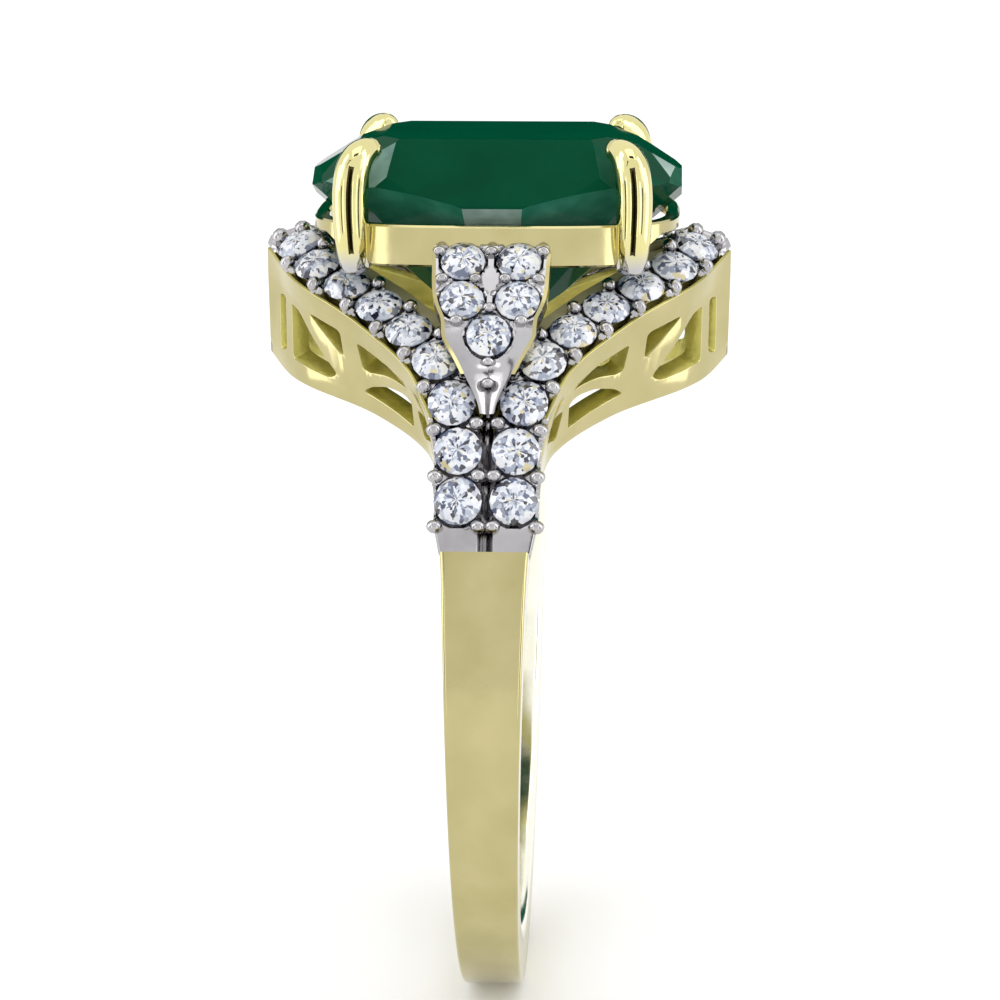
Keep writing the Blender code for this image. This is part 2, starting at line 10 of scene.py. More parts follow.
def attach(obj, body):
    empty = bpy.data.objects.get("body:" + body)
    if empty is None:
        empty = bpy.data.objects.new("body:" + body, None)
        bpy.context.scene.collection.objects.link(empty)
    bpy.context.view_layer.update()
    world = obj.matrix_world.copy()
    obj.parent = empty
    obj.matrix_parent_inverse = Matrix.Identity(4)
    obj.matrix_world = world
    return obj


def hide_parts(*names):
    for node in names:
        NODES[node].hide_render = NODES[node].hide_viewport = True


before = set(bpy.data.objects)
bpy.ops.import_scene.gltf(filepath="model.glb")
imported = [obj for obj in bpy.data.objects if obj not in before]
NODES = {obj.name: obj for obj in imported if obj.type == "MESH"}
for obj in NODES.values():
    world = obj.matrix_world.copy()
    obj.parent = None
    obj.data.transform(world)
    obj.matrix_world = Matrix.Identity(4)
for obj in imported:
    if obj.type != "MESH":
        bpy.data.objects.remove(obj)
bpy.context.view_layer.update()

MM = 0.001

# ---------------------------------------------------------------- lines of the ring, in millimetres
FINGER_RADIUS = 8.65
SHOULDER_ANGLE = math.radians(28.8)
ARM_STONE = 0.69
ARM_STONES = 9
STONE_PITCH = 1.46
FIRST_STONE = 0.88
ARM_LINE = (
    (6.25, 0.00, 12.77),
    (5.27, -2.02, 12.10),
    (3.31, -3.95, 11.18),
    (1.58, -5.84, 9.98),
    (0.91, -7.00, 8.35),
    (0.80, -7.86, 6.62),
    (0.80, -8.64, 4.87),
)
RIM_LINE = (
    (6.90, 0.00),
    (5.60, -2.06),
    (3.45, -3.66),
    (1.85, -5.10),
    (1.42, -6.25),
    (1.31, -7.05),
    (1.22, -7.60),
)
RIM_RADIUS = 8.71
RAIL_BELOW = 0.63
GAP = 0.03
WALL_OUTSIDE = 0.74
WALL_THICKNESS = 0.55
LEDGE_REACH = 1.70
TIP_CLEARANCE = 0.07
TIP_LEAN = 0.30
KEYSTONE_LINE = (
    (-4.36, 12.98, 1.66),
    (-4.72, 12.60, 1.62),
    (-5.65, 11.62, 1.52),
    (-6.33, 10.72, 1.02),
    (-6.74, 9.86, 0.52),
    (-6.98, 9.24, 0.24),
    (-7.22, 8.62, 0.12),
)
KEYSTONE_ROWS = ((1, 0.81), (2, 0.80), (3, 0.0))
KEYSTONE_STONE = 0.64
WINDOWS = (
    ((0.052, 0.22), (0.083, 0.18), (0.083, 0.76), (0.052, 0.82)),
    ((0.116, 0.20), (0.155, 0.22), (0.250, 0.71), (0.228, 0.80), (0.115, 0.79)),
    ((0.190, 0.14), (0.272, 0.13), (0.270, 0.46)),
    ((0.314, 0.15), (0.400, 0.13), (0.465, 0.24), (0.430, 0.27), (0.385, 0.34), (0.335, 0.47), (0.318, 0.46)),
    ((0.309, 0.77), (0.338, 0.64), (0.390, 0.48), (0.440, 0.39), (0.468, 0.41), (0.458, 0.79), (0.366, 0.77)),
    ((0.492, 0.42), (0.560, 0.32), (0.585, 0.55), (0.507, 0.78)),
)


def spline(points, place):
    last = len(points) - 1
    scaled = min(max(place, 0.0), 1.0) * last
    first = min(int(scaled), last - 1)
    t = scaled - first
    p1, p2 = points[first], points[first + 1]
    p0 = points[first - 1] if first else p1 * 2 - p2
    p3 = points[first + 2] if first + 2 <= last else p2 * 2 - p1
    return (
        p1 * 2
        + (p2 - p0) * t
        + (p0 * 2 - p1 * 5 + p2 * 4 - p3) * t**2
        + (p1 * 3 - p0 - p2 * 3 + p3) * t**3
    ) / 2


ARM_POINTS = [Vector(point) for point in ARM_LINE]
LENGTHS = [0.0]
for _step in range(600):
    _piece = spline(ARM_POINTS, (_step + 1) / 600) - spline(ARM_POINTS, _step / 600)
    LENGTHS.append(LENGTHS[-1] + _piece.length)
ARM_LENGTH = LENGTHS[-1]


def place_at(distance):
    """The place along the arm's line, from 0 to 1, this far from its tip."""
    for step in range(600):
        if LENGTHS[step + 1] >= distance:
            return (step + (distance - LENGTHS[step]) / (LENGTHS[step + 1] - LENGTHS[step])) / 600
    return 1.0


def line_frame(place):
    centre = spline(ARM_POINTS, place)
    along = (spline(ARM_POINTS, place + 0.002) - spline(ARM_POINTS, place - 0.002)).normalized()
    radial = centre.normalized()
    normal = (radial - along * radial.dot(along)).normalized()
    side = normal.cross(along)
    if place == 0:
        side = side - along * (side.y / along.y)
        normal = normal - along * (normal.y / along.y)
    return centre, side, normal


def arm_frame(place):
    if place < TIP_CLEARANCE:
        share = place / TIP_CLEARANCE
        pairs = zip(line_frame(0), line_frame(TIP_CLEARANCE))
        return [first.lerp(last, share) for first, last in pairs]
    return line_frame(place)


def rim_point(place):
    flat = spline([Vector((x, y, 0)) for x, y in RIM_LINE], place)
    height = math.sqrt(RIM_RADIUS**2 - flat.y**2)
    rise = max(0.0, 1 + flat.y / 1.6)
    return Vector((flat.x, flat.y, height + 0.45 * rise**2))


def mirrored(point, across_x, across_y):
    return Vector((point.x * across_x, point.y * across_y, point.z))


def narrowing(place):
    """How much rail and wall are narrower on their outer side, where they run onto the shank."""
    return 0.24 * max(0.0, abs(place) - 0.90) / 0.10


def wall_point(place, down, layer):
    centre, side, normal = arm_frame(abs(place))
    lean = TIP_LEAN * max(0.0, 1 - abs(place) / 0.16) ** 2
    outside = WALL_OUTSIDE - narrowing(place)
    top = centre + side * (outside + lean) - normal * (RAIL_BELOW + GAP)
    reach = min(LEDGE_REACH, (centre.x - 0.09) / side.x + outside)
    thickness = min(WALL_THICKNESS, reach * 0.8)
    inwards = layer * thickness if layer < 1 else thickness + (layer - 1) * (reach - thickness)
    point = top.lerp(rim_point(abs(place)), down) - side * inwards
    return mirrored(point, 1, 1 if place >= 0 else -1)


# ---------------------------------------------------------------- materials
def nodes_of(name):
    material = bpy.data.materials.new(name)
    material.use_nodes = True
    tree = material.node_tree
    shader = tree.nodes["Principled BSDF"]
    geometry = tree.nodes.new("ShaderNodeNewGeometry")
    scale = tree.nodes.new("ShaderNodeVectorMath")
    scale.operation = "SCALE"
    scale.inputs["Scale"].default_value = 1000
    tree.links.new(geometry.outputs["Position"], scale.inputs[0])
    return material, tree, shader, scale.outputs["Vector"]


def noise(tree, place, scale, detail=3.0):
    texture = tree.nodes.new("ShaderNodeTexNoise")
    texture.inputs["Scale"].default_value = scale
    texture.inputs["Detail"].default_value = detail
    tree.links.new(place, texture.inputs["Vector"])
    return texture.outputs["Fac"]


def ranged(tree, value, low, high, from_low=0.3, from_high=0.7):
    node = tree.nodes.new("ShaderNodeMapRange")
    node.inputs["From Min"].default_value = from_low
    node.inputs["From Max"].default_value = from_high
    node.inputs["To Min"].default_value = low
    node.inputs["To Max"].default_value = high
    tree.links.new(value, node.inputs["Value"])
    return node.outputs["Result"]


def mixed(tree, factor, first, second):
    node = tree.nodes.new("ShaderNodeMix")
    node.data_type = "RGBA"
    for socket, value in ((node.inputs[6], first), (node.inputs[7], second)):
        if isinstance(value, tuple):
            socket.default_value = (*value, 1)
        else:
            tree.links.new(value, socket)
    tree.links.new(factor, node.inputs[0])
    return node.outputs[2]


def bumped(tree, shader, height, strength, distance):
    bump = tree.nodes.new("ShaderNodeBump")
    bump.inputs["Strength"].default_value = strength
    bump.inputs["Distance"].default_value = distance
    tree.links.new(height, bump.inputs["Height"])
    tree.links.new(bump.outputs["Normal"], shader.inputs["Normal"])


def metal(name, first, second, rough, bump, foot=None, metallic=1.0):
    """Polished cast metal: two near tones, roughness that drifts, and a faint orange-peel surface."""
    material, tree, shader, place = nodes_of(name)
    colour = mixed(tree, ranged(tree, noise(tree, place, 0.7), 0, 1), first, second)
    if foot:
        tone, low, high = foot
        split = tree.nodes.new("ShaderNodeSeparateXYZ")
        tree.links.new(place, split.inputs[0])
        colour = mixed(tree, ranged(tree, split.outputs["Z"], 1, 0, low, high), colour, tone)
    tree.links.new(colour, shader.inputs["Base Color"])
    shader.inputs["Metallic"].default_value = metallic
    tree.links.new(ranged(tree, noise(tree, place, 1.9), rough[0], rough[1]), shader.inputs["Roughness"])
    bumped(tree, shader, noise(tree, place, 6.0, 2.0), bump, 0.00002)
    return material


GOLD_PALE = (0.54, 0.48, 0.25)
GOLD_DEEP = (0.47, 0.42, 0.20)
SILVER_LIGHT = (0.52, 0.51, 0.52)
SILVER_DARK = (0.38, 0.37, 0.38)
yellow_gold = metal("yellow_gold_polished", GOLD_PALE, GOLD_DEEP, (0.10, 0.17), 0.05)
# near-white gold for the shank's inner faces: a painted highlight, lighter than the outside because of how
# light falls inside the band
inner_gold_painted_highlight = metal("yellow_gold_inner_painted_highlight", (0.96, 0.95, 0.84), (0.92, 0.90, 0.76), (0.12, 0.2), 0.04)
# rough cast finish for the walls' inner faces and window insides, with a darker olive tone painted as shade
cast_gold_painted_shade = metal("yellow_gold_cast_painted_shade", (0.58, 0.52, 0.13), (0.34, 0.31, 0.06), (0.28, 0.42), 1.0, None, 0.6)
ledge_gold = metal("yellow_gold_ledge", (0.52, 0.48, 0.28), (0.45, 0.41, 0.22), (0.35, 0.50), 0.1, None, 0.25)
CLAW_FOOT = (SILVER_LIGHT, 12.3, 12.9)  # the claws fade to white gold between these heights
claw_gold = metal("yellow_gold_claw", (0.80, 0.74, 0.36), (0.70, 0.64, 0.28), (0.06, 0.10), 0.03, CLAW_FOOT)
# near-black gold for the claws' grooves: painted shade and a painted dark reflection
groove_painted_shade = metal("yellow_gold_groove_painted_shade", (0.07, 0.06, 0.02), (0.04, 0.03, 0.01), (0.2, 0.3), 0.1)
white_gold = metal("white_gold_polished", SILVER_LIGHT, SILVER_DARK, (0.10, 0.20), 0.15)


def math_node(tree, operation, *values):
    node = tree.nodes.new("ShaderNodeMath")
    node.operation = operation
    for socket, value in zip(node.inputs, values):
        if isinstance(value, (int, float)):
            socket.default_value = value
        else:
            tree.links.new(value, socket)
    return node.outputs[0]


PAINTED_FLASHES_ROUND = 3.6  # cells of the small stones' painted flashes per radian
PAINTED_FLASHES_OUT = 5.6  # and per radius
PAINTED_FLASHES_APART = 7.3  # from one stone's painted flashes to the next


def diamond():
    """A small stone: pale, with a brilliant's dark, blue and straw flashes painted into its colour as
    reflections and highlights, which run outwards.
    """
    material, tree, shader, place = nodes_of("clear_stone_painted_flashes")
    cut = tree.nodes.new("ShaderNodeAttribute")
    cut.attribute_name = "cut"
    parts = tree.nodes.new("ShaderNodeSeparateXYZ")
    tree.links.new(cut.outputs["Vector"], parts.inputs[0])
    u, v, number = parts.outputs
    turn = math_node(tree, "ARCTAN2", v, u)
    squares = [math_node(tree, "MULTIPLY", value, value) for value in (u, v)]
    radius = math_node(tree, "SQRT", math_node(tree, "ADD", *squares))
    polar = tree.nodes.new("ShaderNodeCombineXYZ")
    tree.links.new(math_node(tree, "MULTIPLY", turn, PAINTED_FLASHES_ROUND), polar.inputs[0])
    tree.links.new(math_node(tree, "MULTIPLY", radius, PAINTED_FLASHES_OUT), polar.inputs[1])
    tree.links.new(math_node(tree, "MULTIPLY", number, PAINTED_FLASHES_APART), polar.inputs[2])
    cells = tree.nodes.new("ShaderNodeTexVoronoi")
    cells.distance = "MANHATTAN"
    cells.inputs["Scale"].default_value = 1.0
    tree.links.new(polar.outputs[0], cells.inputs["Vector"])
    split = tree.nodes.new("ShaderNodeSeparateColor")
    tree.links.new(cells.outputs["Color"], split.inputs[0])
    # the ramp paints reflections and highlights: white and pale flashes, dark and blue-grey reflections, a
    # straw glint of fire
    ramp = tree.nodes.new("ShaderNodeValToRGB")
    ramp.color_ramp.interpolation = "CONSTANT"
    steps = (
        (0.00, (0.90, 0.93, 1.00)),
        (0.27, (0.40, 0.45, 0.58)),
        (0.42, (1.00, 1.00, 1.00)),
        (0.55, (0.13, 0.16, 0.26)),
        (0.69, (0.62, 0.67, 0.77)),
        (0.79, (0.01, 0.01, 0.03)),
        (0.92, (0.86, 0.90, 0.98)),
        (0.97, (0.80, 0.70, 0.40)),
    )
    for i, (start, tone) in enumerate(steps):
        stop = ramp.color_ramp.elements[i] if i < 2 else ramp.color_ramp.elements.new(start)
        stop.position = start
        stop.color = (*tone, 1)
    tree.links.new(split.outputs[0], ramp.inputs[0])
    tree.links.new(ramp.outputs[0], shader.inputs["Base Color"])
    shader.inputs["Transmission Weight"].default_value = 0.2
    shader.inputs["IOR"].default_value = 1.9
    tree.links.new(ranged(tree, noise(tree, place, 3.0), 0.0, 0.03), shader.inputs["Roughness"])
    bumped(tree, shader, split.outputs[1], 0.2, 0.00003)
    return material


def facet_mask(tree, azimuth, slope, width=4.0):
    """1 on the facets that face this way (degrees from +X and from upright), and 0 on the others."""
    turn, lean = math.radians(azimuth), math.radians(slope)
    geometry = tree.nodes.new("ShaderNodeNewGeometry")
    dot = tree.nodes.new("ShaderNodeVectorMath")
    dot.operation = "DOT_PRODUCT"
    dot.inputs[1].default_value = (
        math.cos(turn) * math.sin(lean),
        math.sin(turn) * math.sin(lean),
        math.cos(lean),
    )
    tree.links.new(geometry.outputs["True Normal"], dot.inputs[0])
    outer, inner = math.cos(math.radians(width)), math.cos(math.radians(width / 2))
    return ranged(tree, dot.outputs["Value"], 0, 1, outer, inner)


def emerald():
    """Deep green, with the light that its facets pass on to the eye painted on facet by facet."""
    material, tree, shader, place = nodes_of("green_stone_cut")
    deep, bright = (0.001, 0.046, 0.021), (0.001, 0.066, 0.029)
    colour = mixed(tree, ranged(tree, noise(tree, place, 0.35, 4.0), 0, 1), deep, bright)
    split = tree.nodes.new("ShaderNodeSeparateXYZ")
    tree.links.new(place, split.inputs[0])
    above = ranged(tree, split.outputs["Z"], 0, 1, 13.3, 13.6)
    streak = ranged(tree, noise(tree, place, 1.1, 2.0), 0.55, 1.0, 0.35, 0.65)
    facets = (  # azimuth, slope, amount, tone, and whether it fades below the basket band's top
        (-128, 47, 0.75, (0.26, 0.42, 0.38), False),
        (-52, 47, 0.25, (0.06, 0.20, 0.14), False),
        (-24, 38, 0.90, (0.45, 0.60, 0.55), False),
        (-15, 62, 0.35, (0.10, 0.28, 0.20), False),
        (-165, 62, 0.10, (0.04, 0.16, 0.11), False),
        (-90, 137, 0.85, (0.30, 0.40, 0.37), True),
        (-116, 135, 0.55, (0.04, 0.22, 0.15), True),
        (-64, 135, 0.60, (0.05, 0.23, 0.17), True),
        (-140, 137, 0.30, (0.03, 0.16, 0.11), True),
    )
    for azimuth, slope, amount, tone, over_band in facets:
        mask = facet_mask(tree, azimuth, slope)
        factor = math_node(tree, "MULTIPLY", mask, math_node(tree, "MULTIPLY", streak, amount))
        if over_band:
            factor = math_node(tree, "MULTIPLY", factor, above)
        colour = mixed(tree, factor, colour, tone)
    tree.links.new(colour, shader.inputs["Base Color"])
    shader.inputs["IOR"].default_value = 1.58
    shader.inputs["Specular IOR Level"].default_value = 0.015
    tree.links.new(ranged(tree, noise(tree, place, 0.9), 0.03, 0.07), shader.inputs["Roughness"])
    bumped(tree, shader, noise(tree, place, 2.0, 2.0), 0.03, 0.00002)
    return material


clear_stone = diamond()
green_stone = emerald()


# ---------------------------------------------------------------- making pieces
def piece(name, bm, material, stands_for=(), sharp=35):
    bmesh.ops.recalc_face_normals(bm, faces=bm.faces[:])
    for vert in bm.verts:
        vert.co *= MM
    mesh = bpy.data.meshes.new(name)
    bm.to_mesh(mesh)
    bm.free()
    mesh.materials.append(material)
    mesh.shade_smooth()
    mesh.set_sharp_from_angle(angle=math.radians(sharp))
    obj = bpy.data.objects.new(name, mesh)
    bpy.context.scene.collection.objects.link(obj)
    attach(obj, "root")
    if stands_for:
        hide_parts(*stands_for)
    return obj


def loft(rings, closed=False, bm=None):
    bm = bm or bmesh.new()
    rows = [[bm.verts.new(point) for point in ring] for ring in rings]
    pairs = list(zip(rows, rows[1:]))
    if closed:
        pairs.append((rows[-1], rows[0]))
    else:
        bm.faces.new(rows[0])
        bm.faces.new(rows[-1][::-1])
    for low, high in pairs:
        for i in range(len(low)):
            j = (i + 1) % len(low)
            bm.faces.new((low[i], high[i], high[j], low[j]))
    return bm


def dome(bm, centre, axes, rings=5, sides=12):
    """A closed ellipsoid, whose three half axes are given as vectors."""
    a, b, c = axes
    rows = []
    for i in range(1, rings):
        lean = math.pi * i / rings
        around = []
        for k in range(sides):
            turn = math.tau * k / sides
            flat = (a * math.cos(turn) + b * math.sin(turn)) * math.sin(lean)
            around.append(bm.verts.new(centre + flat + c * math.cos(lean)))
        rows.append(around)
    top, bottom = bm.verts.new(centre + c), bm.verts.new(centre - c)
    for k in range(sides):
        j = (k + 1) % sides
        bm.faces.new((top, rows[0][k], rows[0][j]))
        bm.faces.new((bottom, rows[-1][j], rows[-1][k]))
        for low, high in zip(rows, rows[1:]):
            bm.faces.new((low[k], high[k], high[j], low[j]))


def smooth(value):
    value = min(max(value, 0.0), 1.0)
    return value * value * (3 - 2 * value)


# ---------------------------------------------------------------- shank
def rounded_section(half, inner, outer, corner, comfort):
    """(x, radius) points round the band's section, with rounded corners."""
    points = []
    corners = (
        (half - corner, outer - corner, corner, 0),
        (-half + corner, outer - corner, corner, 90),
        (-half + comfort, inner + comfort, comfort, 180),
        (half - comfort, inner + comfort, comfort, 270),
    )
    for x, radius, size, start in corners:
        for i in range(7):
            turn = math.radians(start + 15 * i)
            points.append((x + size * math.cos(turn), radius + size * math.sin(turn)))
    return points


SHANK_STEPS = 144
SHANK_END = 0.004  # radians from the rails' ends
SHANK_WIDTH = 2.5
SHANK_NARROWING = 0.75
SHANK_THICKNESS = 1.75
SHANK_THINNING = 0.15
SHANK_TAPER = 0.7
SHANK_CORNER = 0.12
SHANK_COMFORT = 0.22


def make_shank():
    rings = []
    start, end = SHOULDER_ANGLE + SHANK_END, -math.pi - SHOULDER_ANGLE - SHANK_END
    for step in range(SHANK_STEPS + 1):
        part = step / SHANK_STEPS
        angle = start + (end - start) * part
        share = math.sin(math.pi * part) ** SHANK_TAPER
        half = (SHANK_WIDTH - SHANK_NARROWING * share) / 2
        outer = FINGER_RADIUS + SHANK_THICKNESS - SHANK_THINNING * share
        section = rounded_section(half, FINGER_RADIUS, outer, SHANK_CORNER, SHANK_COMFORT)
        direction = Vector((0, -math.cos(angle), math.sin(angle)))
        rings.append([Vector((x, 0, 0)) + direction * radius for x, radius in section])
    bm = loft(rings)
    inner = FINGER_RADIUS + SHANK_COMFORT + 0.04
    # the inner faces get the near-white gold, a painted highlight
    for face in bm.faces:
        middle = face.calc_center_median()
        face.material_index = 1 if math.hypot(middle.y, middle.z) < inner else 0
    band = piece("shank_band", bm, yellow_gold, ("shank",), 40)
    band.data.materials.append(inner_gold_painted_highlight)


# ---------------------------------------------------------------- pierced gallery walls
FLAT_LENGTH = 13.0
FLAT_HEIGHT = 3.0
FLAT_DEPTH = 0.75
LIP = 0.16  # the wall's lip beside the rail, as a share of its height
LIP_DEPTH = 0.18
LIP_TOP = -0.20  # over the girdles of the stones
LIP_OUT = 0.08


def lipped_point(place, down, layer):
    """The wall's point, with its top flared to the lip that stands beside the rail."""
    across_y = 1 if place >= 0 else -1
    centre, side, normal = arm_frame(abs(place))
    lean = TIP_LEAN * max(0.0, 1 - abs(place) / 0.16) ** 2
    fade = smooth((abs(place) - 0.56) / 0.12)
    out = LIP_OUT * (1 - lean / TIP_LEAN) * (1 - fade) - 0.10 * fade
    if down >= -0.002:
        flare = out * (1 - smooth(down / 0.35)) * max(0.0, 1 - layer / LIP_DEPTH)
        return wall_point(place, down, layer) + mirrored(side * flare, 1, across_y)
    bottom = -(RAIL_BELOW + GAP)
    high = bottom + (LIP_TOP - 0.34 * fade - bottom) * min(1.0, -down / LIP)
    across = WALL_OUTSIDE - narrowing(place) + lean * (1 + 0.75 * down / LIP) + out - 0.08 * layer / LIP_DEPTH
    return mirrored(centre + side * across + normal * high, 1, across_y)


def rounded_outline(outline, share=0.16):
    """The outline with each corner cut to a small arc, in flat millimetres."""
    flat = [Vector((place * FLAT_LENGTH, -down * FLAT_HEIGHT)) for place, down in outline]
    points = []
    for i, corner in enumerate(flat):
        before, after = flat[i - 1], flat[(i + 1) % len(flat)]
        size = min(share, (before - corner).length / 2.2, (after - corner).length / 2.2)
        first = corner + (before - corner).normalized() * size
        last = corner + (after - corner).normalized() * size
        for step in range(4):
            t = step / 3
            points.append(first.lerp(corner, t).lerp(corner.lerp(last, t), t))
    return points


def make_walls():
    corners = ((-LIP, 0), (1, 0), (1, 1), (0.08, 1), (0.08, 2), (0, 2), (0, LIP_DEPTH), (-LIP, LIP_DEPTH))
    rings = [
        [Vector((end * FLAT_LENGTH, layer * FLAT_DEPTH, -down * FLAT_HEIGHT)) for down, layer in corners]
        for end in (-1, 1)
    ]
    strip_mesh = bpy.data.meshes.new("strip")
    bm = loft(rings)
    bmesh.ops.recalc_face_normals(bm, faces=bm.faces[:])
    bm.to_mesh(strip_mesh)
    bm.free()
    cutter_mesh = bpy.data.meshes.new("cutter")
    bm = bmesh.new()
    for outline in WINDOWS:
        points = rounded_outline(outline)
        for half in (1, -1):
            rings = [[Vector((p.x * half, depth, p.y)) for p in points] for depth in (-0.4, 1.15)]
            loft(rings, bm=bm)
    bmesh.ops.recalc_face_normals(bm, faces=bm.faces[:])
    bm.to_mesh(cutter_mesh)
    bm.free()
    strip = bpy.data.objects.new("strip", strip_mesh)
    cutter = bpy.data.objects.new("cutter", cutter_mesh)
    bpy.context.scene.collection.objects.link(strip)
    bpy.context.scene.collection.objects.link(cutter)
    boolean = strip.modifiers.new("windows", "BOOLEAN")
    boolean.operation = "DIFFERENCE"
    boolean.object = cutter
    flat = bpy.data.meshes.new_from_object(strip.evaluated_get(bpy.context.evaluated_depsgraph_get()))
    bpy.data.objects.remove(strip)
    bpy.data.objects.remove(cutter)
    bm = bmesh.new()
    bm.from_mesh(flat)
    bmesh.ops.dissolve_limit(bm, angle_limit=0.01, verts=bm.verts[:], edges=bm.edges[:])
    edges = [edge for edge in bm.edges if len(edge.link_faces) == 2 and edge.calc_face_angle() > 0.6]
    bmesh.ops.bevel(
        bm, geom=edges, offset=0.06, offset_type="OFFSET", segments=2, profile=0.5,
        affect="EDGES", clamp_overlap=True,
    )
    bmesh.ops.triangulate(bm, faces=[face for face in bm.faces if len(face.verts) > 4])
    cuts = 90
    for step in range(-cuts + 1, cuts):
        whole = bm.verts[:] + bm.edges[:] + bm.faces[:]
        bmesh.ops.bisect_plane(
            bm, geom=whole, dist=1e-5, plane_co=(step * FLAT_LENGTH / cuts, 0, 0), plane_no=(1, 0, 0)
        )
    bm.to_mesh(flat)
    bm.free()
    for across_x, side in ((-1, "left"), (1, "right")):
        bm = bmesh.new()
        bm.from_mesh(flat)
        for face in bm.faces:
            depth = sum(vert.co.y for vert in face.verts) / len(face.verts)
            # faces behind the wall's front, the window insides and the inner side, get the darker olive gold:
            # painted shade
            face.material_index = 1 if depth > 0.06 else 0
        for vert in bm.verts:
            place = min(max(vert.co.x / FLAT_LENGTH, -1), 1)
            bent = lipped_point(place, -vert.co.z / FLAT_HEIGHT, vert.co.y / FLAT_DEPTH)
            vert.co = mirrored(bent, across_x, 1)
        wall = piece(f"gallery_{side}", bm, yellow_gold, (f"gallery_wall_{side}",), 50)
        wall.data.materials.append(cast_gold_painted_shade)
        bm = bmesh.new()
        for across_y in (1, -1):
            rings = []
            for step in range(61):
                place = 0.10 + 0.52 * step / 60
                centre, axis, normal = arm_frame(place)
                width = 0.36 * smooth(step / 8) * smooth((60 - step) / 14) + 0.04
                ring = [
                    centre - axis * 0.73 - normal * 0.16,
                    centre - axis * (0.73 + width) - normal * 0.26,
                    centre - axis * (0.76 + width) - normal * 0.34,
                    centre - axis * (0.73 + width) - normal * 0.42,
                    centre - axis * 0.73 - normal * 0.42,
                ]
                rings.append([mirrored(point, across_x, across_y) for point in ring])
            loft(rings, bm=bm)
        piece(f"gallery_ledge_{side}", bm, ledge_gold, (), 40)


# ---------------------------------------------------------------- white gold rails with their beads
STONE_PLACES = [FIRST_STONE + STONE_PITCH * i for i in range(ARM_STONES)]


def nearest(distance):
    """Signed distance along the arm from its nearest stone."""
    return min((distance - stone for stone in STONE_PLACES), key=abs)


def bed_height(along, across):
    """Height of the rail's top over the girdle, at a place seen from a stone's centre."""
    radius = math.hypot(along, across)
    seat = -0.14 - 0.75 * max(0.0, 0.62 - radius)
    rim = smooth((radius - (ARM_STONE + 0.01)) / 0.07)
    return max(seat, -0.50) * (1 - rim) - 0.04 * rim


def rail_ring(distance):
    """One section of the rail, from its outer foot over the top to its inner foot."""
    place = place_at(abs(distance))
    centre, side, normal = arm_frame(place)
    along = nearest(abs(distance))
    scallop = 0.44 * max(0.0, 1 - (abs(along) / 0.56) ** 3)
    narrow = narrowing(place)
    shoulder = smooth((abs(distance) - 8.0) / 2.5)
    tip = 1 - smooth(abs(distance) / 0.35)
    points = []
    for i in range(9):
        depth = RAIL_BELOW * (1 - i / 8)
        cut = smooth((scallop - depth) / 0.12 + 0.5)
        points.append((0.75 - 0.13 * cut - narrow, -depth - 0.02 * (1 - cut) * (i == 8)))
    for i in range(1, 20):
        across = 0.62 - narrow - (1.24 - narrow) * i / 20
        points.append((across, bed_height(along, across) * (1 - tip) + 0.10 * tip))
    for i in range(9):
        depth = RAIL_BELOW * i / 8
        cut = smooth((scallop - depth) / 0.12 + 0.5)
        half = 0.70 - 0.10 * cut - 0.08 * shoulder * (1 - depth / RAIL_BELOW)
        points.append((-half, -depth - 0.02 * (1 - cut) * (i == 0)))
    across_y = 1 if distance >= 0 else -1
    return [mirrored(centre + side * u + normal * h, 1, across_y) for u, h in points]


def make_rails():
    end = ARM_LENGTH + 0.02
    count = 440
    rings = [rail_ring(-end + 2 * end * step / count) for step in range(count + 1)]
    for across_x, name in ((-1, "left"), (1, "right")):
        turned = [[mirrored(point, across_x, 1) for point in ring] for ring in rings]
        piece(f"rail_{name}", loft(turned), white_gold, (f"pave_rail_{name}",), 45)
        bm = bmesh.new()
        for across_y in (1, -1):
            for i in range(ARM_STONES + 1):
                distance = STONE_PLACES[0] - 0.72 + STONE_PITCH * i
                centre, side, normal = arm_frame(place_at(max(distance, 0.0)))
                along = side.cross(normal)
                bead = [side * 0.24, along * 0.20, normal * 0.22]
                stem = [side * 0.10, along * 0.13, normal * 0.34]
                for outer in (1, -1):
                    across = 0.64 if outer > 0 else -0.60
                    if i == 0:
                        across *= 0.55
                    domes = [(centre + side * across + normal * 0.05, bead)]
                    if outer > 0 and i:
                        domes.append((centre + side * 0.72 - normal * 0.18, stem))
                    for spot, axes in domes:
                        turned = [mirrored(v, across_x, across_y) for v in axes]
                        dome(bm, mirrored(spot, across_x, across_y), turned)
        piece(f"rail_beads_{name}", bm, white_gold, (), 60)


# ---------------------------------------------------------------- keystones
KEY_POINTS = [Vector((half, y, z)) for y, z, half in KEYSTONE_LINE]


def key_frame(place):
    """Centre, half width and face normal at a place down the keystone's middle line."""
    point = spline(KEY_POINTS, place)
    before, after = spline(KEY_POINTS, place - 0.02), spline(KEY_POINTS, place + 0.02)
    down = Vector((0, after.y - before.y, after.z - before.z)).normalized()
    return Vector((0, point.y, point.z)), point.x, Vector((-1, 0, 0)).cross(down).normalized(), down


def key_stones():
    found = []
    for index, distance in KEYSTONE_ROWS:
        centre, _, normal, down = key_frame(index / (len(KEY_POINTS) - 1))
        for x in (-distance, distance) if distance else (0.0,):
            found.append((centre + Vector((x, 0, 0)), normal, down))
    return found


